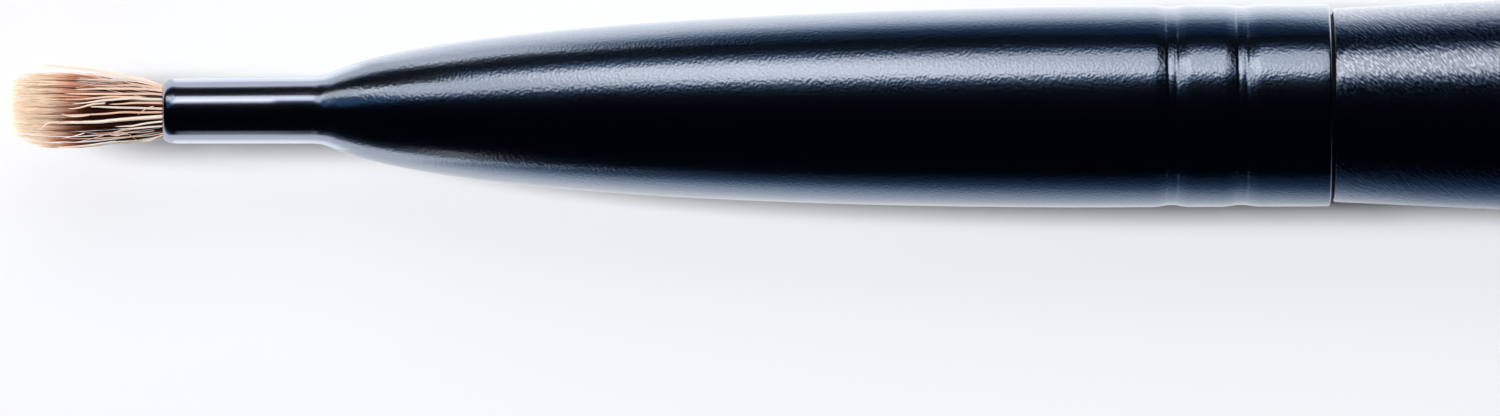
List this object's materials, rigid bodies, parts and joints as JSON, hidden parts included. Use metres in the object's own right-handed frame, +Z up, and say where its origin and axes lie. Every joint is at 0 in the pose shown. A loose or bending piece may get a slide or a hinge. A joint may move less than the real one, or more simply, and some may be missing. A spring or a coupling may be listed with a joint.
{
  "type": "eyebrow brush",
  "caption": "Slim makeup brush: a small round natural-hair tuft in a tapered black metal ferrule, crimped onto a swelling, tapering black handle.",
  "frame": {"origin": "on the surface that the brush lies on, under the middle of its overall length", "axes": "+X along the brush's axis from the hair towards the handle's butt; +Z up, away from the surface; +Y completes the right-handed frame, and is the side that the picture's light comes from"},
  "size_m": [0.165, 0.0124, 0.0124],
  "materials": {
    "hair": "fine natural hair, reddish brown with pale tips",
    "glued_roots": "hair roots soaked in cured glue",
    "binding_thread": "plain undyed thread",
    "root_glue": "cured amber glue",
    "ferrule_metal": "satin black lacquer, glossier on the neck",
    "tenon_glue": "cured amber glue",
    "handle_wood": "turned hardwood, dyed black at the shoulder",
    "handle_skin": "black, fine leather-like grain, soft sheen"
  },
  "bodies": {
    "root": {"hair_tuft": "hair", "hair_root_bundle": "glued_roots", "root_binding_thread": "binding_thread", "root_glue_plug": "root_glue", "ferrule": "ferrule_metal", "tenon_glue_film": "tenon_glue", "handle_core": "handle_wood", "handle_sleeve": "handle_skin"}
  },
  "joints": []
}
